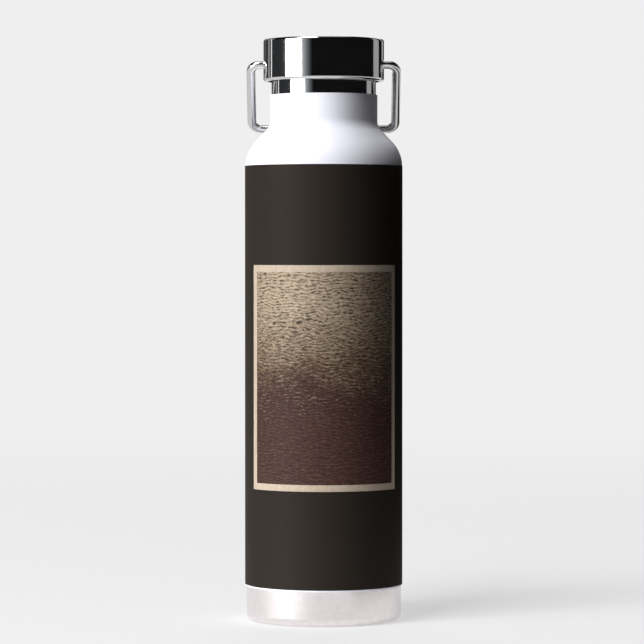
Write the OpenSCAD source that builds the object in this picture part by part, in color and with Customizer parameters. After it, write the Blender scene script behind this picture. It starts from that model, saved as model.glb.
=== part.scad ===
// Vacuum bottle with a copper-plated inner vessel, a screw lid and a wire carrying bail.
// Millimetres. +Z is up, the origin is on the floor under the centre of the base,
// and the printed panel faces -Y.

/* [Body] */
// Outside diameter over the printed wrap
body_d = 73; // [68:0.5:90]
// Height of the base band below the wrap
band_h = 16.9; // [13:0.1:30]
// Height of the printed wrap
wrap_h = 193.5; // [150:0.5:240]
// Thickness of the printed wrap
wrap_t = 0.15; // [0.05:0.01:0.3]
// Wall of the outer shell
shell_wall = 0.5; // [0.4:0.05:0.8]
// Depth of the shell that stands below the wrap's lower edge
shell_lip = 0.9; // [0.6:0.1:2]
// Radius where the side turns into the shoulder
crown_r = 15.8; // [8:0.1:18]
// Slope of the shoulder, measured from upright
shoulder_slope = 43.3; // [32:0.1:50]

/* [Neck] */
// Outside diameter of the painted neck
neck_d = 49.74; // [41:0.02:60]
// Height of the straight painted neck
neck_h = 12.12; // [8:0.01:20]
// Wall of the painted neck, thicker than the shell because it is drawn in
neck_wall = 0.7; // [0.5:0.05:1]
// Radius where the shoulder turns into the neck
neck_foot_r = 5.6; // [2:0.1:8]
// Height of bare mouth ring that shows between the paint and the lid
ring_show = 6.3; // [4:0.1:12]
// Height of mouth ring that is hidden in the lid
ring_in_lid = 2.8; // [2:0.1:5]
// Depth of mouth ring that is held inside the painted neck
ring_lap = 5.2; // [3:0.1:8]
// Wall of the mouth ring
ring_wall = 1.24; // [0.8:0.02:2]

/* [Inner vessel] */
// Vacuum gap between the two walls
vacuum_gap = 3; // [2:0.1:6]
// Wall of the inner vessel
liner_wall = 0.5; // [0.4:0.05:0.8]
// Vacuum gap between the two walls of the neck
neck_gap = 0.67; // [0.4:0.01:2]
// Radius where the inner shoulder turns into the inner neck
liner_foot_r = 3; // [2:0.1:6]
// Height of the inner vessel's underside above the floor
liner_low = 7.5; // [6.5:0.1:20]
// Height of the dished bottom that is welded to the inner tube
liner_dish_h = 12.5; // [10:0.1:20]
// Corner radius of the dished bottom
liner_corner_r = 8; // [4:0.1:12]
// Thickness of the copper plating on the vacuum side
copper_t = 0.15; // [0.05:0.01:0.3]

/* [Base] */
// Sheet thickness of the base cup
cup_wall = 0.5; // [0.4:0.05:0.8]
// Height over which the base cup laps inside the outer shell
cup_lap = 5; // [3:0.1:8]
// Corner radius at the foot
foot_corner_r = 3.5; // [2:0.1:5]
// Width of the flat foot ring
foot_w = 3.2; // [2:0.1:6]
// Depth of the recess inside the foot ring
recess_h = 3.2; // [2.8:0.1:5]
// Thickness of the cover in the recess
cover_t = 0.5; // [0.4:0.05:1]
// Distance of the cover's face above the floor
cover_up = 0.6; // [0.3:0.1:1.2]
// Height of the cover's turned-up rim
cover_rim_h = 2; // [1.2:0.1:2.2]
// Diameter of the evacuation hole
vent_d = 2; // [1:0.1:3]
// Diameter of the sealing bead under the evacuation hole
bead_d = 7; // [5:0.1:9]
// Height of the sealing bead
bead_h = 1.2; // [0.8:0.1:1.4]
// Diameter of the getter tablet
getter_d = 8; // [6:0.1:12]
// Height of the getter tablet
getter_h = 2; // [1.5:0.1:2.4]
// Distance of the getter tablet from the axis
getter_out = 15; // [10:0.5:20]

/* [Printed panel] */
// Width of the panel, measured round the wrap
panel_w = 79.5; // [40:0.5:90]
// Height of the panel
panel_h = 102.8; // [60:0.2:130]
// Height of the panel's lower edge above the floor
panel_low = 61.8; // [30:0.2:80]
// Width of the pale border round the panel
border_w = 3; // [1.5:0.1:6]
// Turn of the panel towards +X
panel_turn = 0.8; // [-5:0.1:5]

/* [Lid] */
// How far the steel cap stands out past the painted neck
lid_overhang = 3.03; // [2.8:0.01:6]
// Height of the steel cap
lid_h = 19.5; // [18:0.1:30]
// Wall of the steel cap
lid_wall = 0.8; // [0.6:0.05:1]
// Rounding of the cap's upper and lower edges
lid_edge_r = 1.2; // [0.9:0.1:2]
// Width of the cap's turned-in lower edge
lid_hem = 2.1; // [1.5:0.1:2.4]
// Wall of the plastic core
core_wall = 1.6; // [1.2:0.1:2]
// Thickness of the core's deck and floor
core_floor_t = 1.5; // [1.2:0.1:2]
// Thickness of the cover on top of the core
core_cover_t = 1.5; // [1:0.1:2]
// Depth of the core's plug below the rim of the mouth
plug_depth = 18.3; // [14:0.1:24]
// Height of the gasket between rim and deck
gasket_h = 1.4; // [1:0.1:2]
// Number of stiffening ribs in each half of the core
ribs_per_side = 3; // [1:1:5]

/* [Screw thread] */
// Rise of the thread in one turn
thread_lead = 5; // [4:0.1:6]
// Turns of thread ridge on each part
thread_turns = 1.7; // [1:0.1:1.8]
// Gap between the plug and the crest of the mouth's thread
thread_root_gap = 0.8; // [0.5:0.05:1.2]
// Depth of the thread ridge in the mouth
thread_depth = 0.9; // [0.6:0.05:1.2]
// Radial engagement of the two ridges
thread_bite = 0.5; // [0.3:0.05:0.7]
// Axial width of a ridge at its crest
thread_crest_w = 1; // [0.6:0.1:1.4]
// Axial width of a ridge at its root
thread_root_w = 2.2; // [1.6:0.1:2.4]
// Axial play between the two ridges
thread_play = 0.2; // [0.1:0.05:0.5]
// Height of the lowest ridge in the mouth above the ring's lower end
thread_low = 3.4; // [2.6:0.1:5]

/* [Bail] */
// Diameter of the bail's wire
wire_d = 4; // [3:0.1:5]
// Gap between the cap's side and the bail's legs
bail_gap = 3.85; // [2:0.05:10]
// Distance from the pivot axis to the middle of the crossbar
bail_reach = 40; // [38:0.1:60]
// Bend radius at the wire's centre line
bend_r = 4.2; // [3:0.1:8]
// Height of the pivot axis above the cap's lower edge
pivot_up = 7.8; // [7.5:0.1:10]
// Length of wire held in each bush
wire_in_bush = 4.9; // [3:0.1:6]
// Radial clearance between wire and bush
pivot_gap = 0.05; // [0.02:0.01:0.1]
// Wall of the bush
bush_wall = 0.75; // [0.5:0.05:1]
// Radial clearance between wire and cap
cap_hole_gap = 0.15; // [0.1:0.05:0.4]
// Gap between the resting bail and the shoulder
bail_rest_gap = 0.3; // [0.1:0.05:1]

/* [Hidden] */
$fn = 96;

seat = 0.03;                    // gap between pieces that are pressed, welded or glued together
over = 1;                       // how far a cut runs past the face that it opens
face_gap = 0.05;                // gap between faces that slide on each other

body_r = body_d / 2;
shell_r = body_r - wrap_t;
neck_r = neck_d / 2;
shell_low = band_h - shell_lip;
shell_chamfer = shell_wall * 0.8;
wrap_top = band_h + wrap_h;

// The shoulder is a straight cone between two arcs: a convex one of radius crown around
// (rb - crown, crown_z) and a concave one of radius foot around (rn + foot, foot_z).
function foot_z(rb, rn, crown_z, crown, foot) =
    crown_z + ((crown + foot) - (rn + foot - rb + crown) * cos(shoulder_slope)) / sin(shoulder_slope);

neck_low = foot_z(shell_r, neck_r, wrap_top, crown_r, neck_foot_r);
neck_top = neck_low + neck_h;
lid_d = neck_d + 2 * lid_overhang;
lid_low = neck_top + ring_show;
lid_top = lid_low + lid_h;
rim_z = lid_low + ring_in_lid;

ring_low = neck_top - ring_lap;
ring_r = neck_r - neck_wall - seat;
bore_r = ring_r - ring_wall;
ring_edge_r = ring_wall / 2 - 0.02;

liner_r = shell_r - shell_wall - vacuum_gap;
liner_neck_r = neck_r - neck_wall - neck_gap;
liner_crown_r = crown_r - shell_wall - vacuum_gap;
liner_weld_z = liner_low + liner_dish_h;

cup_r = shell_r - shell_wall - seat;
cup_top = shell_low + cup_lap;
recess_r = cup_r - foot_corner_r - foot_w;
cup_floor_z = recess_h + cup_wall;

deck_z = rim_z + gasket_h + 2 * face_gap;
core_r = lid_d / 2 - lid_wall - seat;
core_low = lid_low + lid_wall + seat;
core_top = lid_top - lid_wall - seat - core_cover_t - seat;
skirt_r = ring_r + 4 * face_gap + 1;
plug_low = rim_z - plug_depth;
plug_edge_r = 1.2;
mouth_crest_r = bore_r - thread_depth;
plug_r = mouth_crest_r - thread_root_gap;
plug_crest_r = mouth_crest_r + thread_bite;

wire_r = wire_d / 2;
leg_x = lid_d / 2 + bail_gap + wire_r;
pivot_z = lid_low + pivot_up;
bush_bore_r = wire_r + pivot_gap;
bush_r = bush_bore_r + bush_wall;
bush_out = sqrt(pow(lid_d / 2 - lid_wall, 2) - pow(bush_r, 2)) - seat;
bush_in = bush_out - wire_in_bush - 0.6;
wire_end = bush_out - wire_in_bush;

// The bail leans on the arc between neck and shoulder, or else on the shoulder's cone or the
// neck, whichever it meets first. bail_rest is its angle back from straight down.
cone_x = shell_r - crown_r + crown_r / cos(shoulder_slope);
cone_from_pivot = (cone_x * cos(shoulder_slope) + wire_r + bail_rest_gap)
    - (pivot_z - wrap_top) * sin(shoulder_slope);
rest_on_cone = shoulder_slope + asin(cone_from_pivot / bail_reach);
rest_on_neck = asin((neck_r + wire_r + bail_rest_gap) / bail_reach);

foot_x = neck_r + neck_foot_r;
foot_drop = pivot_z - neck_low;
foot_far = norm([foot_x, foot_drop]);
foot_room = neck_foot_r - wire_r - bail_rest_gap;
foot_cosine = (pow(bail_reach, 2) + pow(foot_far, 2) - pow(foot_room, 2)) / (2 * bail_reach * foot_far);
rest_on_foot = atan2(foot_x, foot_drop) - acos(min(1, foot_cosine));
foot_lean = atan2(
    bail_reach * cos(rest_on_foot) - foot_drop, foot_x - bail_reach * sin(rest_on_foot)
);
on_foot = foot_room > 0 && foot_cosine < 1 && foot_lean > 0 && foot_lean < shoulder_slope;
bail_rest = on_foot ? rest_on_foot : max(rest_on_cone, rest_on_neck);

panel_angle = panel_w / body_r * 180 / PI;
border_angle = border_w / body_r * 180 / PI;
seat_angle = seat / body_r * 180 / PI;

ridge_steps = 40;               // rings of the thread ridge in one turn
ridge_fade = 4;                 // rings over which a ridge rises from the wall at each end
ridge_sink = 0.4;               // how deep a ridge is rooted in its wall

// ---- Outlines, drawn as radius and height, and filled from the axis outwards ----

// Body, shoulder and neck between two heights
module bottle_outline(rb, rn, crown_z, crown, foot, low, high) {
    out = [cos(shoulder_slope), sin(shoulder_slope)];
    crown_at = [rb - crown, crown_z];
    foot_at = [rn + foot, foot_z(rb, rn, crown_z, crown, foot)];
    difference() {
        union() {
            polygon([
                [0, low],
                [rb, low],
                [rb, crown_z],
                crown_at + crown * out,
                foot_at - foot * out,
                [rn, foot_at[1]],
                [rn, high],
                [0, high]
            ]);
            translate(crown_at)
                circle(crown);
        }
        translate(foot_at)
            circle(foot);
    }
}

// A plain box outline with its two outer corners rounded
module rounded_outline(r, low, high, low_r, high_r) {
    translate([0, low + low_r])
        square([r, high - low - low_r - high_r]);
    translate([0, low])
        square([r - low_r, high - low]);
    translate([r - high_r, high - high_r])
        circle(high_r);
    translate([r - low_r, low + low_r])
        circle(low_r);
    translate([0, high - high_r - low_r])
        square([r - high_r, high_r + low_r]);
}

// A strip between two radii and two heights
module strip(r1, r2, low, high) {
    translate([r1, low])
        square([r2 - r1, high - low]);
}

// The inner vessel's outside, grown by a given amount
module vessel_outline(grow) {
    intersection() {
        bottle_outline(
            liner_r + grow, liner_neck_r + grow, wrap_top,
            liner_crown_r + grow, liner_foot_r - grow, liner_low - grow, ring_low
        );
        union() {
            rounded_outline(
                liner_r + grow, liner_low - grow, liner_weld_z, liner_corner_r + grow, 0.01
            );
            strip(0, body_r, liner_weld_z - 1, ring_low);
        }
    }
}

// The inner vessel's wall between two heights
module vessel_wall(low, high) {
    intersection() {
        difference() {
            vessel_outline(0);
            vessel_outline(-liner_wall);
            strip(0, liner_neck_r - liner_wall, neck_low, ring_low + over);
        }
        strip(0, body_r, low, high);
    }
}

// The base cup's underside, moved inwards by a given amount
module cup_outline(inset) {
    difference() {
        rounded_outline(cup_r - inset, inset, cup_top + inset, foot_corner_r - inset, 0.01);
        strip(-over, recess_r + inset, -over, recess_h + inset);
    }
}

// A sector of the wrap's thickness, centred on the printed panel
module wrap_sector(angle, low, high, spread) {
    rotate([0, 0, panel_turn - 90])
        rotate_extrude(angle = angle, start = -angle / 2)
            strip(shell_r + seat - spread, body_r + spread, low, high);
}

// ---- Screw thread ----

// One helical ridge from a wall at radius root to a crest, right-handed, first ring at +X
module thread_ridge(root, crest, low) {
    steps = round(thread_turns * ridge_steps);
    inwards = crest < root;
    points = [
        for (i = [0 : steps])
            let (
                a = 360 * i / ridge_steps,
                z = low + thread_lead * i / ridge_steps,
                k = min(1, (min(i, steps - i) + 1) / ridge_fade),
                tip = root + (crest - root) * k
            )
            each [
                [root * cos(a), root * sin(a), z - thread_root_w / 2],
                [tip * cos(a), tip * sin(a), z - thread_crest_w / 2],
                [tip * cos(a), tip * sin(a), z + thread_crest_w / 2],
                [root * cos(a), root * sin(a), z + thread_root_w / 2]
            ]
    ];
    sides = [
        for (i = [0 : steps - 1])
            for (j = [0 : 3])
                let (
                    a0 = 4 * i + j,
                    a1 = 4 * i + (j + 1) % 4
                )
                each [[a0, a1, a1 + 4], [a0, a1 + 4, a0 + 4]]
    ];
    last = 4 * steps;
    ends = [[0, 3, 2], [0, 2, 1], [last, last + 1, last + 2], [last, last + 2, last + 3]];
    faces = concat(sides, ends);
    polyhedron(points, [for (f = faces) inwards ? [f[2], f[1], f[0]] : f]);
}

// ---- Bottle ----

module outer_shell() {
    color("#f4f1f3")
        rotate_extrude()
            difference() {
                bottle_outline(
                    shell_r, neck_r, wrap_top, crown_r, neck_foot_r, shell_low, neck_top
                );
                bottle_outline(
                    shell_r - shell_wall, neck_r - neck_wall, wrap_top,
                    crown_r - shell_wall, neck_foot_r + neck_wall, shell_low - over, neck_top + over
                );
                polygon([
                    [shell_r - shell_chamfer, shell_low],
                    [shell_r + over, shell_low],
                    [shell_r + over, shell_low + shell_chamfer],
                    [shell_r, shell_low + shell_chamfer]
                ]);
            }
}

module base_cup() {
    color("#d9d3d1")
        difference() {
            rotate_extrude()
                difference() {
                    cup_outline(0);
                    cup_outline(cup_wall);
                }
            translate([0, 0, recess_h - over])
                cylinder(d = vent_d, h = cup_wall + 2 * over);
        }
}

module bottom_cover() {
    cover_r = recess_r - seat;
    color("#b9bbbe")
        rotate_extrude() {
            strip(0, cover_r, cover_up, cover_up + cover_t);
            strip(cover_r - cover_t, cover_r, cover_up, cover_up + cover_rim_h);
        }
}

// Low dome on the outside of the evacuation hole with a stem that fills the hole
module seal_bead() {
    bead_r = bead_d / 2;
    dome_r = (bead_r * bead_r + bead_h * bead_h) / (2 * bead_h);
    color("#7d8288") {
        intersection() {
            translate([0, 0, recess_h - bead_h + dome_r])
                sphere(dome_r);
            translate([0, 0, recess_h - seat - bead_h])
                cylinder(r = bead_r + over, h = bead_h);
        }
        translate([0, 0, recess_h - bead_h / 2])
            cylinder(r = vent_d / 2 - seat, h = cup_wall + bead_h / 2);
    }
}

module getter() {
    color("#8c857c")
        translate([getter_out, 0, cup_floor_z + seat])
            cylinder(d = getter_d, h = getter_h);
}

module inner_vessel() {
    color("#c9cbcd")
        rotate_extrude()
            vessel_wall(liner_weld_z, ring_low);
}

module inner_bottom() {
    color("#bfc2c5")
        rotate_extrude()
            vessel_wall(liner_low - over, liner_weld_z);
}

module copper_layer() {
    color("#b8683f")
        rotate_extrude()
            difference() {
                vessel_outline(seat + copper_t);
                vessel_outline(seat);
                strip(-over, body_r, ring_low - 2, ring_low + over);
                strip(0, liner_neck_r + seat, neck_low, ring_low);
            }
}

module mouth_ring() {
    color("#d6d8da") {
        rotate_extrude() {
            strip(bore_r, ring_r, ring_low, rim_z - ring_edge_r);
            strip(bore_r + ring_edge_r, ring_r - ring_edge_r, rim_z - 2 * ring_edge_r, rim_z);
            translate([bore_r + ring_edge_r, rim_z - ring_edge_r])
                circle(ring_edge_r);
            translate([ring_r - ring_edge_r, rim_z - ring_edge_r])
                circle(ring_edge_r);
        }
        thread_ridge(bore_r + ridge_sink, mouth_crest_r, ring_low + thread_low);
    }
}

module wrap_film() {
    color("#2b2623")
        difference() {
            rotate_extrude()
                strip(shell_r + seat, body_r, band_h, wrap_top);
            wrap_sector(panel_angle, panel_low, panel_low + panel_h, over);
        }
}

module panel_border() {
    color("#cfc3ad")
        difference() {
            wrap_sector(panel_angle - 2 * seat_angle, panel_low + seat, panel_low + panel_h - seat, 0);
            wrap_sector(
                panel_angle - 2 * border_angle, panel_low + border_w,
                panel_low + panel_h - border_w, over
            );
        }
}

module panel_field() {
    color("#6b4a35")
        wrap_sector(
            panel_angle - 2 * border_angle - 2 * seat_angle, panel_low + border_w + seat,
            panel_low + panel_h - border_w - seat, 0
        );
}

// ---- Lid ----

module lid_gasket() {
    color("#e6e6e2")
        rotate_extrude()
            strip(bore_r - 0.1, skirt_r - 2 * face_gap, rim_z + face_gap, rim_z + face_gap + gasket_h);
}

module cap_shell() {
    color("#c4c7ca")
        difference() {
            rotate_extrude()
                difference() {
                    rounded_outline(lid_d / 2, lid_low, lid_top, lid_edge_r, lid_edge_r);
                    rounded_outline(
                        lid_d / 2 - lid_wall, lid_low + lid_wall, lid_top - lid_wall,
                        lid_edge_r - lid_wall, lid_edge_r - lid_wall
                    );
                    strip(-over, lid_d / 2 - lid_hem, lid_low - over, lid_low + lid_wall + over);
                }
            translate([-lid_d, 0, pivot_z])
                rotate([0, 90, 0])
                    cylinder(r = wire_r + cap_hole_gap, h = 2 * lid_d);
        }
}

// The core's plain revolved walls: plug, floor, deck and skirt
module core_walls() {
    rotate_extrude() {
        difference() {
            rounded_outline(plug_r, plug_low, core_top, plug_edge_r, 0.01);
            strip(-over, plug_r - core_wall, plug_low + core_floor_t, core_top + over);
        }
        strip(plug_r - core_wall, core_r - lid_edge_r, deck_z, deck_z + core_floor_t);
        strip(skirt_r, core_r, core_low + lid_edge_r, core_top - lid_edge_r);
        strip(skirt_r, core_r - lid_edge_r, core_low, core_top);
    }
}

module lid_core() {
    rib_t = 1.2;
    rib_step = 180 / (ribs_per_side + 1);
    boss_w = 2 * bush_r + 3;
    boss_top = pivot_z + bush_r + 1.5;
    color("#3a3d40") {
        difference() {
            union() {
                core_walls();
                for (side = [-1, 1])
                    intersection() {
                        translate([side * core_r / 2, 0, (deck_z + boss_top) / 2])
                            cube([core_r, boss_w, boss_top - deck_z], center = true);
                        rotate_extrude()
                            strip(plug_r - core_wall / 2, core_r - lid_edge_r, deck_z, boss_top);
                    }
                for (half = [0, 180])
                    for (i = [1 : ribs_per_side])
                        rotate([0, 0, half + i * rib_step])
                            translate([plug_r - core_wall / 2, -rib_t / 2, deck_z])
                                cube([skirt_r - plug_r + core_wall, rib_t, core_top - 3 - deck_z]);
            }
            for (side = [-1, 1])
                translate([side * bush_in, 0, pivot_z])
                    rotate([0, side * 90, 0])
                        cylinder(r = bush_r + seat, h = core_r);
        }
        thread_ridge(
            plug_r - ridge_sink, plug_crest_r,
            ring_low + thread_low - (thread_root_w + thread_crest_w) / 2 - thread_play
        );
    }
}

module core_cover() {
    color("#46494c")
        rotate_extrude()
            strip(0, core_r - lid_edge_r, core_top + seat, core_top + seat + core_cover_t);
}

module insulation_puck() {
    color("#ece8da")
        rotate_extrude()
            strip(0, plug_r - core_wall - seat, plug_low + core_floor_t + seat, core_top);
}

// Sleeve that carries one end of the bail, on the side given by its sign
module pivot_bush(side) {
    color("#d9d4c6")
        translate([side * bush_in, 0, pivot_z])
            rotate([0, side * 90, 0])
                difference() {
                    cylinder(r = bush_r, h = bush_out - bush_in);
                    translate([0, 0, -over])
                        cylinder(r = bush_bore_r, h = bush_out - bush_in + 2 * over);
                }
}

module pivot_bush_left() {
    pivot_bush(-1);
}

module pivot_bush_right() {
    pivot_bush(1);
}

// ---- Bail ----

// One side of the wire loop hanging straight down from its pivot axis: end, bends and leg
module bail_side() {
    corner_x = leg_x - bend_r;
    translate([corner_x, 0, 0])
        rotate([0, -90, 0])
            cylinder(r = wire_r, h = corner_x - wire_end);
    translate([corner_x, 0, -bend_r])
        rotate([90, 0, 0])
            rotate_extrude(angle = 90)
                translate([bend_r, 0])
                    circle(wire_r);
    translate([leg_x, 0, bend_r - bail_reach])
        cylinder(r = wire_r, h = bail_reach - 2 * bend_r);
    translate([corner_x, 0, bend_r - bail_reach])
        rotate([90, 90, 0])
            rotate_extrude(angle = 90)
                translate([bend_r, 0])
                    circle(wire_r);
}

module bail() {
    crossbar = 2 * (leg_x - bend_r);
    color("#cfd1d3")
        translate([0, 0, pivot_z])
            rotate([bail_rest, 0, 0]) {
                bail_side();
                mirror([1, 0, 0])
                    bail_side();
                translate([-crossbar / 2, 0, -bail_reach])
                    rotate([0, 90, 0])
                        cylinder(r = wire_r, h = crossbar);
            }
}

outer_shell();
base_cup();
bottom_cover();
seal_bead();
getter();
inner_vessel();
inner_bottom();
copper_layer();
mouth_ring();
wrap_film();
panel_border();
panel_field();
lid_gasket();
cap_shell();
lid_core();
core_cover();
insulation_puck();
pivot_bush_left();
pivot_bush_right();
bail();
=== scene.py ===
"""Looks of the vacuum bottle: a procedural finish for every piece, a pale floor, soft studio
light and a camera in front of the printed panel. Lengths are in metres and angles in radians
unless a comment says otherwise."""
import math

import bpy
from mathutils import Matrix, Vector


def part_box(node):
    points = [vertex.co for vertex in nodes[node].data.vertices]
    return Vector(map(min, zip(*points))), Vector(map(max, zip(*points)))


MM = 0.001
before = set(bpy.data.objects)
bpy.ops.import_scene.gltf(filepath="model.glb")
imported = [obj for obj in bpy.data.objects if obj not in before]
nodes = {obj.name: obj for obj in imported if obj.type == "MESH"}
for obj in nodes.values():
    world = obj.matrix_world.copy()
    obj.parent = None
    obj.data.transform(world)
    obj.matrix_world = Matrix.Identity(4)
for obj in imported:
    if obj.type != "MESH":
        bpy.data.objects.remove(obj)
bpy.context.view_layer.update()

# The panel faces -Y, where the camera stands.
WRAP_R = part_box("wrap_film")[1].x       # outer radius of the printed film
FRONT = -math.pi / 2                    # angle of the panel's middle round the axis, from +X
PANEL_HALF = 1.05                       # angle from the panel's middle to the middle of its frame
RIPPLE_PITCH = 1.5 * MM                 # height of one wave in the panel's relief
RIPPLE_SWAY = 34.0                      # phase by which a slow noise moves the waves up and down

# Most of a noise texture's values lie between these two.
NOISE_LOW = 0.3
NOISE_HIGH = 0.7


# ---- Node helpers -------------------------------------------------------------------------

class Graph:
    """A material's node tree with short calls for the nodes used here."""

    def __init__(self, name):
        self.material = bpy.data.materials.new(name)
        self.material.use_nodes = True
        self.tree = self.material.node_tree
        self.tree.nodes.clear()
        self.out = self.add("ShaderNodeOutputMaterial")

    def add(self, kind, **settings):
        node = self.tree.nodes.new(kind)
        for key, value in settings.items():
            setattr(node, key, value)
        return node

    def put(self, value, socket):
        """Links a socket, or sets a plain number or colour."""
        if isinstance(value, bpy.types.NodeSocket):
            self.tree.links.new(value, socket)
        else:
            socket.default_value = value

    def math(self, operation, a, b=0.0):
        node = self.add("ShaderNodeMath", operation=operation)
        self.put(a, node.inputs[0])
        self.put(b, node.inputs[1])
        return node.outputs[0]

    def mix(self, factor, a, b):
        node = self.add("ShaderNodeMix", data_type="RGBA")
        self.put(factor, node.inputs["Factor"])
        self.put(a, node.inputs["A"])
        self.put(b, node.inputs["B"])
        return node.outputs["Result"]

    def spread(self, value, low, high, to_low=0.0, to_high=1.0):
        """Maps low..high to to_low..to_high and holds the ends outside that range."""
        node = self.add("ShaderNodeMapRange")
        self.put(value, node.inputs["Value"])
        ends = (("From Min", low), ("From Max", high), ("To Min", to_low), ("To Max", to_high))
        for name, number in ends:
            node.inputs[name].default_value = number
        return node.outputs["Result"]

    def vary(self, noise, least, most, low=NOISE_LOW, high=NOISE_HIGH):
        """A number that follows a noise from least to most."""
        return self.spread(noise, low, high, least, most)

    def tones(self, noise, first, second, low=NOISE_LOW, high=NOISE_HIGH):
        """A colour that follows a noise from the first (red, green, blue) to the second."""
        return self.mix(self.spread(noise, low, high), rgb(*first), rgb(*second))

    def place(self, scale=(1, 1, 1)):
        """Object coordinates, stretched."""
        coords = self.add("ShaderNodeTexCoord")
        mapping = self.add("ShaderNodeMapping")
        self.tree.links.new(coords.outputs["Object"], mapping.inputs["Vector"])
        mapping.inputs["Scale"].default_value = scale
        return mapping.outputs["Vector"]

    def noise(self, vector, scale, detail=3.0, rough=0.5, distortion=0.0):
        node = self.add("ShaderNodeTexNoise")
        self.put(vector, node.inputs["Vector"])
        node.inputs["Scale"].default_value = scale
        node.inputs["Detail"].default_value = detail
        node.inputs["Roughness"].default_value = rough
        node.inputs["Distortion"].default_value = distortion
        return node.outputs["Fac"]

    def around(self):
        """Three sockets round the Z axis: angle from +X, height and radius."""
        coords = self.add("ShaderNodeTexCoord")
        parts = self.add("ShaderNodeSeparateXYZ")
        self.tree.links.new(coords.outputs["Object"], parts.inputs[0])
        x, y, z = parts.outputs
        squares = self.math("ADD", self.math("MULTIPLY", x, x), self.math("MULTIPLY", y, y))
        return self.math("ARCTAN2", y, x), z, self.math("SQRT", squares)

    def vector(self, x, y, z):
        node = self.add("ShaderNodeCombineXYZ")
        for value, socket in zip((x, y, z), node.inputs):
            self.put(value, socket)
        return node.outputs[0]

    def drawn(self, advance):
        """Coordinates for lines round the axis; a smaller advance per radian makes them longer."""
        angle, height, radius = self.around()
        return self.vector(self.math("MULTIPLY", angle, advance), height, radius)

    def bump(self, height, distance, strength, normal=None):
        node = self.add("ShaderNodeBump")
        node.inputs["Strength"].default_value = strength
        node.inputs["Distance"].default_value = distance
        self.put(height, node.inputs["Height"])
        if normal is not None:
            self.put(normal, node.inputs["Normal"])
        return node.outputs[0]

    def surface(self, color, roughness, metallic=0.0, normal=None, **constants):
        """The Principled shader. Extra inputs are plain numbers, set on its own sockets."""
        shader = self.add("ShaderNodeBsdfPrincipled")
        self.put(color, shader.inputs["Base Color"])
        self.put(roughness, shader.inputs["Roughness"])
        shader.inputs["Metallic"].default_value = metallic
        if normal is not None:
            self.put(normal, shader.inputs["Normal"])
        for name, value in constants.items():
            shader.inputs[name.replace("_", " ")].default_value = value
        self.tree.links.new(shader.outputs[0], self.out.inputs["Surface"])
        return self.material


def rgb(red, green, blue):
    """A colour in linear light."""
    return (red, green, blue, 1.0)


# ---- Materials ----------------------------------------------------------------------------

def powder_coat():
    """White powder coat: fine orange peel, faint unevenness of tone."""
    g = Graph("powder_coat")
    at = g.place()
    peel = g.noise(at, 1400, detail=2)
    waves = g.noise(at, 260, detail=2)
    tone = g.noise(at, 40)
    color = g.tones(tone, (0.80, 0.80, 0.885), (0.83, 0.83, 0.91), 0.35, 0.65)
    normal = g.bump(waves, 0.02 * MM, 0.5, g.bump(peel, 0.012 * MM, 0.6))
    return g.surface(
        color, g.vary(peel, 0.36, 0.44), normal=normal,
        Specular_IOR_Level=0.35, Coat_Weight=0.15, Coat_Roughness=0.3,
    )


def polished_steel(name="polished_steel", base=0.06, depth=0.0012):
    """Polished steel with faint buffing lines round the axis and a few wipe marks. Base is the
    lowest roughness, depth that of the lines in millimetres."""
    g = Graph(name)
    lines = g.noise(g.drawn(0.004), 5200, detail=2, rough=0.6)
    smudge = g.noise(g.place(), 90, detail=4, rough=0.6)
    color = g.tones(lines, (0.60, 0.60, 0.61), (0.66, 0.655, 0.65))
    wiped = g.vary(smudge, base, base + 0.03, 0.4, 0.8)
    rough = g.math("ADD", wiped, g.vary(lines, 0.0, 0.02, 0.4, 0.7))
    return g.surface(color, rough, 1.0, g.bump(lines, depth * MM, 0.5))


def brushed_steel(name, tone, rough_low, rough_high, depth=0.004):
    """Steel brushed round the axis: long fine lines, uneven gloss. Depth is in millimetres."""
    g = Graph(name)
    fine = g.noise(g.drawn(0.01), 3800, rough=0.7)
    broad = g.noise(g.drawn(0.03), 420, rough=0.6)
    cloud = g.noise(g.place(), 35)
    dark = tuple(0.9 * t for t in tone)
    both = g.math("ADD", fine, broad)
    color = g.tones(both, dark, tone, 0.7, 1.3)
    rough = g.math("ADD", g.vary(fine, rough_low, rough_high), g.vary(cloud, -0.01, 0.015))
    normal = g.bump(broad, depth * MM, 0.5, g.bump(fine, depth * MM, 0.5))
    return g.surface(color, rough, 1.0, normal, Anisotropic=0.6)


def printed_film():
    """Dark brown-black satin film: very fine grain and a slow change of gloss."""
    g = Graph("printed_film")
    at = g.place()
    grain = g.noise(at, 2600, detail=2, rough=0.6)
    cloud = g.noise(at, 30)
    color = g.tones(grain, (0.0150, 0.0112, 0.0085), (0.0205, 0.0157, 0.0122))
    rough = g.math("ADD", g.vary(cloud, 0.60, 0.66), g.vary(grain, -0.02, 0.02))
    normal = g.bump(grain, 0.006 * MM, 0.5)
    return g.surface(color, rough, normal=normal, Specular_IOR_Level=0.10)


def pale_print():
    """Beige print of the frame: paper-like fibres and faint speckle."""
    g = Graph("pale_print")
    fibre = g.noise(g.place((1, 1, 0.3)), 900, detail=4, rough=0.65)
    speck = g.noise(g.place(), 2400, detail=2)
    color = g.tones(fibre, (0.40, 0.325, 0.25), (0.50, 0.415, 0.325))
    color = g.mix(g.spread(speck, 0.62, 0.75), color, rgb(0.30, 0.23, 0.17))
    normal = g.bump(fibre, 0.008 * MM, 0.5)
    rough = g.vary(speck, 0.52, 0.6)
    return g.surface(color, rough, normal=normal, Specular_IOR_Level=0.15)


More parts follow.
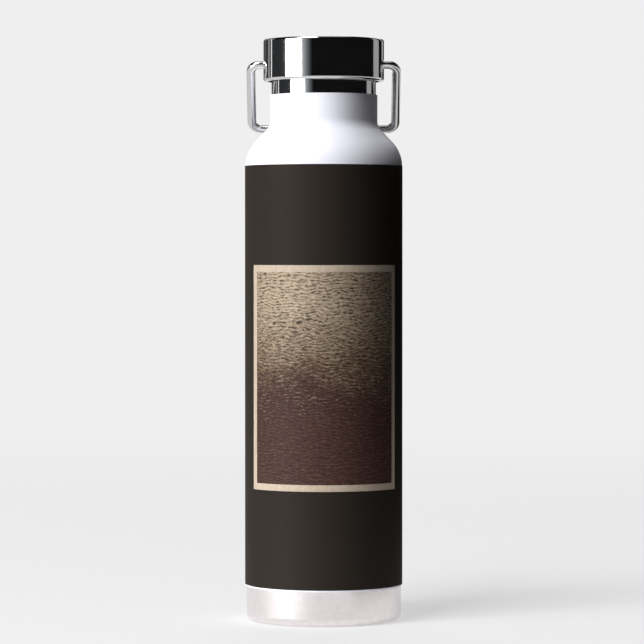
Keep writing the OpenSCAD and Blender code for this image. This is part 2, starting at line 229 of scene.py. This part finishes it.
def panel_print():
    """Printed field: light olive above, maroon below, fine waves and short strokes, no picture."""
    g = Graph("panel_print")
    angle, height, _ = g.around()
    low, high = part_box("panel_field")
    up = g.spread(height, low.z, high.z)
    side = g.spread(angle, FRONT - PANEL_HALF, FRONT + PANEL_HALF)

    # Marks: strokes drawn out sideways, grit, and waves that a slow noise sways up and down.
    at = g.place()
    stroke_at = g.vector(g.math("MULTIPLY", angle, 0.4 * WRAP_R), height, 0.0)
    sway_at = g.vector(g.math("MULTIPLY", angle, WRAP_R), height, 0.0)
    strokes = g.noise(stroke_at, 1150, detail=4, rough=0.6, distortion=0.7)
    grit = g.noise(at, 1900, rough=0.7)
    sway = g.math("MULTIPLY", g.noise(sway_at, 95), RIPPLE_SWAY)
    phase = g.math("ADD", g.math("MULTIPLY", height, 2 * math.pi / RIPPLE_PITCH), sway)
    ripple = g.spread(g.math("SINE", phase), -1.0, 1.0)
    relief = g.math("ADD", g.math("MULTIPLY", strokes, 0.6), g.math("MULTIPLY", grit, 0.3))
    relief = g.math("ADD", relief, g.math("MULTIPLY", ripple, 0.1))

    # Ground: maroon below, bronze above, and lighter towards the top, most of all on its left.
    blotch = g.noise(at, 60, detail=4, rough=0.6)
    drift = g.math("ADD", up, g.vary(blotch, -0.11, 0.11, 0.25, 0.75))
    ground = g.tones(drift, (0.057, 0.025, 0.021), (0.125, 0.080, 0.050), 0.42, 0.58)
    glow = g.math("MULTIPLY", g.spread(drift, 0.56, 0.84), g.spread(side, 0.85, 0.35, 0.35, 1.0))
    glow = g.math("MULTIPLY", glow, g.spread(side, 0.0, 0.3, 0.62, 1.0))
    ground = g.mix(glow, ground, rgb(0.38, 0.30, 0.215))

    # Painted shade darkens the ground in the hollows of the marks, and a painted highlight lightens
    # it on their raised tops.
    painted_pit_shade = g.math("MULTIPLY", g.spread(relief, 0.51, 0.40), g.spread(drift, 0.3, 0.6, 0.6, 0.9))
    painted_crest_highlight = g.math("MULTIPLY", g.spread(relief, 0.54, 0.64), g.spread(drift, 0.3, 0.7, 0.06, 0.40))
    color = g.mix(painted_pit_shade, ground, rgb(0.012, 0.009, 0.007))
    color = g.mix(painted_crest_highlight, color, rgb(0.62, 0.52, 0.41))
    normal = g.bump(relief, 0.09 * MM, 0.8)
    rough = g.vary(grit, 0.55, 0.68)
    return g.surface(color, rough, normal=normal, Specular_IOR_Level=0.12)


def copper_plate():
    """Electroplated copper: bright, slightly cloudy."""
    g = Graph("copper_plate")
    cloud = g.noise(g.place(), 55, detail=4, rough=0.6)
    grain = g.noise(g.place(), 900, rough=0.6)
    color = g.tones(cloud, (0.72, 0.29, 0.15), (0.86, 0.42, 0.25))
    return g.surface(color, g.vary(grain, 0.22, 0.38), 1.0, g.bump(grain, 0.004 * MM, 0.5))


def moulded(name, first, second, rough, texture=900, depth=0.012):
    """Moulded plastic, rubber or foam: fine texture and slight mottling from the first tone to
    the second. Depth is in millimetres."""
    g = Graph(name)
    grain = g.noise(g.place(), texture, rough=0.6)
    cloud = g.noise(g.place(), 70)
    color = g.tones(cloud, first, second)
    normal = g.bump(grain, depth * MM, 0.6)
    return g.surface(color, g.vary(grain, rough - 0.05, rough + 0.05), normal=normal)


def finish_nodes():
    """Puts a material on every CAD node."""
    steel = polished_steel()
    core = moulded("core_plastic", (0.012, 0.013, 0.014), (0.018, 0.019, 0.021), 0.42)
    bush = moulded("bush_plastic", (0.50, 0.46, 0.38), (0.58, 0.54, 0.46), 0.4)
    raw = brushed_steel("raw_steel", (0.52, 0.52, 0.53), 0.26, 0.38)
    looks = {
        "outer_shell": powder_coat(),
        "base_cup": brushed_steel("base_steel", (0.90, 0.842, 0.85), 0.19, 0.22, 0.0004),
        "bottom_cover": brushed_steel("satin_steel", (0.60, 0.60, 0.61), 0.24, 0.34),
        "seal_bead": moulded("sealing_glass", (0.04, 0.05, 0.06), (0.06, 0.07, 0.08), 0.2),
        "getter": moulded("getter_tablet", (0.10, 0.09, 0.08), (0.14, 0.13, 0.12), 0.8),
        "inner_vessel": raw,
        "inner_bottom": raw,
        "copper_layer": copper_plate(),
        "mouth_ring": steel,
        "wrap_film": printed_film(),
        "panel_border": pale_print(),
        "panel_field": panel_print(),
        "lid_gasket": moulded("silicone", (0.62, 0.62, 0.60), (0.68, 0.68, 0.66), 0.45),
        "cap_shell": steel,
        "lid_core": core,
        "core_cover": core,
        "insulation_puck": moulded("foam", (0.70, 0.66, 0.56), (0.78, 0.74, 0.64), 0.9, 500, 0.1),
        "pivot_bush_left": bush,
        "pivot_bush_right": bush,
        "bail": polished_steel("wire_steel", 0.18, 0.0),
    }
    for name, material in looks.items():
        mesh = nodes[name].data
        mesh.materials.clear()
        mesh.materials.append(material)


# ---- Camera, floor and light ---------------------------------------------------------------

EYE_DISTANCE = 1.5305           # camera in front of the axis
EYE_HEIGHT = 0.1676
EYE_LEFT = 0.0008
PITCH = math.radians(1.1025)    # how far the camera looks down
LENS = 184.5                    # millimetres, as the sensor
SENSOR = 36

PAPER = 0.863                   # radiance of the pale background
FLOOR_GLOW = 0.55               # radiance that the floor keeps in full shadow near the bottle
FLOOR_SHADES = (0.308, 0.316)   # reflectance of the floor near the bottle
TABLE_R = 0.16                  # table that reflects light onto the bottle
FADE_R = 1.6                    # from here out the floor is as even as the backdrop
FLOOR_R = 6.0
DOME_R = 12.0
RING_STEPS = 96
TABLE_HOLE_R = 0.5 * MM         # hole in the table's middle, under the bottle

STUDIO = 3.0                    # distance of the light cards from the point that they face
AIM = 0.2                       # height of that point on the axis
SCREEN_REACH = 0.23             # the same two for the dark screen
SCREEN_AIM = 0.012
FADE_POWER = 1.6                # how fast a feathered card loses its light
SOFTBOX = 13.0                  # radiance of the two soft boxes
WHITE = (1.0, 1.0, 1.0)
SKY = (0.9, 0.92, 1.0)
SKY_GLOW = 0.006

# Degrees; azimuth is that of the card's middle, 0 towards the camera, and grows towards +X.
# name, azimuth, width, (lowest, highest elevation), colour, radiance, whether it is feathered
CARDS = (
    ("key_softbox", -60, 34, (-8, 16), WHITE, SOFTBOX, False),
    ("key_feather", -32, 22, (-8, 16), (0.88, 0.94, 1.0), 0.7, True),
    ("high_softbox", -38, 42, (34, 62), WHITE, SOFTBOX, False),
    ("left_dim", -96, 36, (-8, 16), (0.9, 0.95, 1.0), 0.04, False),
    ("left_strip", -119, 3.0, (-8, 30), WHITE, 1.5, False),
    ("left_grey", -129.5, 9, (-8, 30), (1.0, 0.98, 0.97), 0.35, False),
    ("left_far", -158, 34, (-8, 30), (1.0, 0.98, 1.0), 0.10, False),
    ("right_grey", 120, 20, (-1, 30), (0.98, 0.97, 1.0), 0.45, False),
    ("right_strip", 152, 9.0, (-1, 30), WHITE, 0.5, False),
    ("back_fill", 180, 50, (18, 58), WHITE, 1.6, False),
)


def add_camera():
    data = bpy.data.cameras.new("camera")
    data.lens = LENS
    data.sensor_width = SENSOR
    data.clip_start = 0.05
    data.clip_end = 5 * DOME_R
    camera = bpy.data.objects.new("camera", data)
    camera.location = (-EYE_LEFT, -EYE_DISTANCE, EYE_HEIGHT)
    camera.rotation_euler = (math.pi / 2 - PITCH, 0, 0)
    bpy.context.scene.collection.objects.link(camera)
    bpy.context.scene.camera = camera


def glow_material(name, color, strength, fade_half=None):
    """Emission. With fade_half it's full at that distance on the card's own -X side and fades to
    nothing at the same distance on its +X side."""
    g = Graph(name)
    light = g.add("ShaderNodeEmission")
    light.inputs["Color"].default_value = rgb(*color)
    if fade_half is None:
        light.inputs["Strength"].default_value = strength
    else:
        parts = g.add("ShaderNodeSeparateXYZ")
        g.put(g.place(), parts.inputs[0])
        fade = g.math("POWER", g.spread(parts.outputs[0], fade_half, -fade_half), FADE_POWER)
        g.put(g.math("MULTIPLY", fade, strength), light.inputs["Strength"])
    g.tree.links.new(light.outputs[0], g.out.inputs["Surface"])
    return g.material


def mesh_object(name, verts, faces):
    mesh = bpy.data.meshes.new(name)
    mesh.from_pydata(verts, [], faces)
    mesh.update()
    thing = bpy.data.objects.new(name, mesh)
    bpy.context.scene.collection.objects.link(thing)
    return thing


def seen_by(thing, camera=False, diffuse=False, glossy=False):
    """Says which rays see a piece of the studio. None of it casts a shadow."""
    thing.visible_camera = camera
    thing.visible_diffuse = diffuse
    thing.visible_glossy = glossy
    thing.visible_transmission = glossy
    thing.visible_shadow = False


def card(
    name, azimuth, width, heights, color, strength,
    feathered=False, steps=8, reach=STUDIO, aim=AIM,
):
    """A curved light card, part of a sphere of radius reach round the axis at height aim. Its
    azimuth, width and two elevations are in degrees, as in CARDS."""
    low, high = heights
    verts = []
    for i in range(steps + 1):
        turn = math.radians(width * (i / steps - 0.5))
        for j in range(steps + 1):
            rise = math.radians(low + (high - low) * j / steps)
            flat = reach * math.cos(rise)
            across, back = flat * math.sin(turn), -flat * math.cos(turn)
            verts.append((across, back, aim + reach * math.sin(rise)))
    row = steps + 1
    faces = [
        (i * row + j, (i + 1) * row + j, (i + 1) * row + j + 1, i * row + j + 1)
        for i in range(steps)
        for j in range(steps)
    ]
    thing = mesh_object(name, verts, faces)
    thing.rotation_euler = (0, 0, math.radians(azimuth))
    half = reach * math.sin(math.radians(width / 2)) if feathered else None
    thing.data.materials.append(glow_material(name, color, strength, half))
    seen_by(thing, diffuse=True, glossy=True)
    return thing


def annulus(name, inner, outer):
    """A flat ring on the floor."""
    verts = []
    for i in range(RING_STEPS):
        turn = 2 * math.pi * i / RING_STEPS
        verts += [(r * math.cos(turn), r * math.sin(turn), 0.0) for r in (inner, outer)]
    count = len(verts)
    faces = [(i, i + 1, (i + 3) % count, (i + 2) % count) for i in range(0, count, 2)]
    return mesh_object(name, verts, faces)


def floor_material():
    """Pale paper with a glow of its own, so that a shadow takes only part of its light. Far out
    it has nothing but the glow, as the backdrop."""
    g = Graph("floor_paper")
    radius = g.around()[2]
    first, second = FLOOR_SHADES
    shade = g.tones(g.noise(g.place(), 300), (first,) * 3, (second,) * 3)
    far = g.spread(radius, TABLE_R, FADE_R)
    paper = g.add("ShaderNodeBsdfDiffuse")
    g.put(g.mix(far, shade, rgb(0, 0, 0)), paper.inputs["Color"])
    light = g.add("ShaderNodeEmission")
    light.inputs["Color"].default_value = rgb(*WHITE)
    g.put(g.spread(radius, TABLE_R, FADE_R, FLOOR_GLOW, PAPER), light.inputs["Strength"])
    both = g.add("ShaderNodeAddShader")
    g.tree.links.new(paper.outputs[0], both.inputs[0])
    g.tree.links.new(light.outputs[0], both.inputs[1])
    g.tree.links.new(both.outputs[0], g.out.inputs["Surface"])
    return g.material


def add_floor():
    """The table lights the bottle from below. Only the camera and reflections see the floor
    beyond it."""
    paper = floor_material()
    rings = (("table", TABLE_HOLE_R, TABLE_R, True), ("floor", TABLE_R, FLOOR_R, False))
    for name, inner, outer, lights in rings:
        ring = annulus(name, inner, outer)
        ring.data.materials.append(paper)
        seen_by(ring, camera=True, diffuse=lights, glossy=True)


def add_backdrop():
    """A wide pale dome behind everything, seen by the camera alone."""
    bpy.ops.mesh.primitive_uv_sphere_add(segments=48, ring_count=24, radius=DOME_R)
    dome = bpy.context.object
    dome.name = "backdrop"
    dome.data.materials.append(glow_material("backdrop_paper", WHITE, PAPER))
    seen_by(dome, camera=True)


def add_lights():
    """The cards, and two that only reflections see: a ring of light overhead, and a dark screen
    that keeps the studio out of the right side's reflections."""
    world = bpy.data.worlds.new("world")
    world.use_nodes = True
    background = world.node_tree.nodes["Background"]
    background.inputs["Color"].default_value = rgb(*SKY)
    background.inputs["Strength"].default_value = SKY_GLOW
    bpy.context.scene.world = world

    for row in CARDS:
        card(*row)
    overhead = card("overhead", 0, 360, (64, 89), (1.0, 0.99, 0.96), 0.7, steps=24)
    seen_by(overhead, glossy=True)
    screen = card(
        "right_screen", 105, 130, (-3, 66), (0.0, 0.0, 0.0), 0.0,
        reach=SCREEN_REACH, aim=SCREEN_AIM,
    )
    seen_by(screen, glossy=True)


def main():
    scene = bpy.context.scene
    scene.view_settings.view_transform = "Standard"
    add_camera()
    finish_nodes()
    add_floor()
    add_backdrop()
    add_lights()


main()
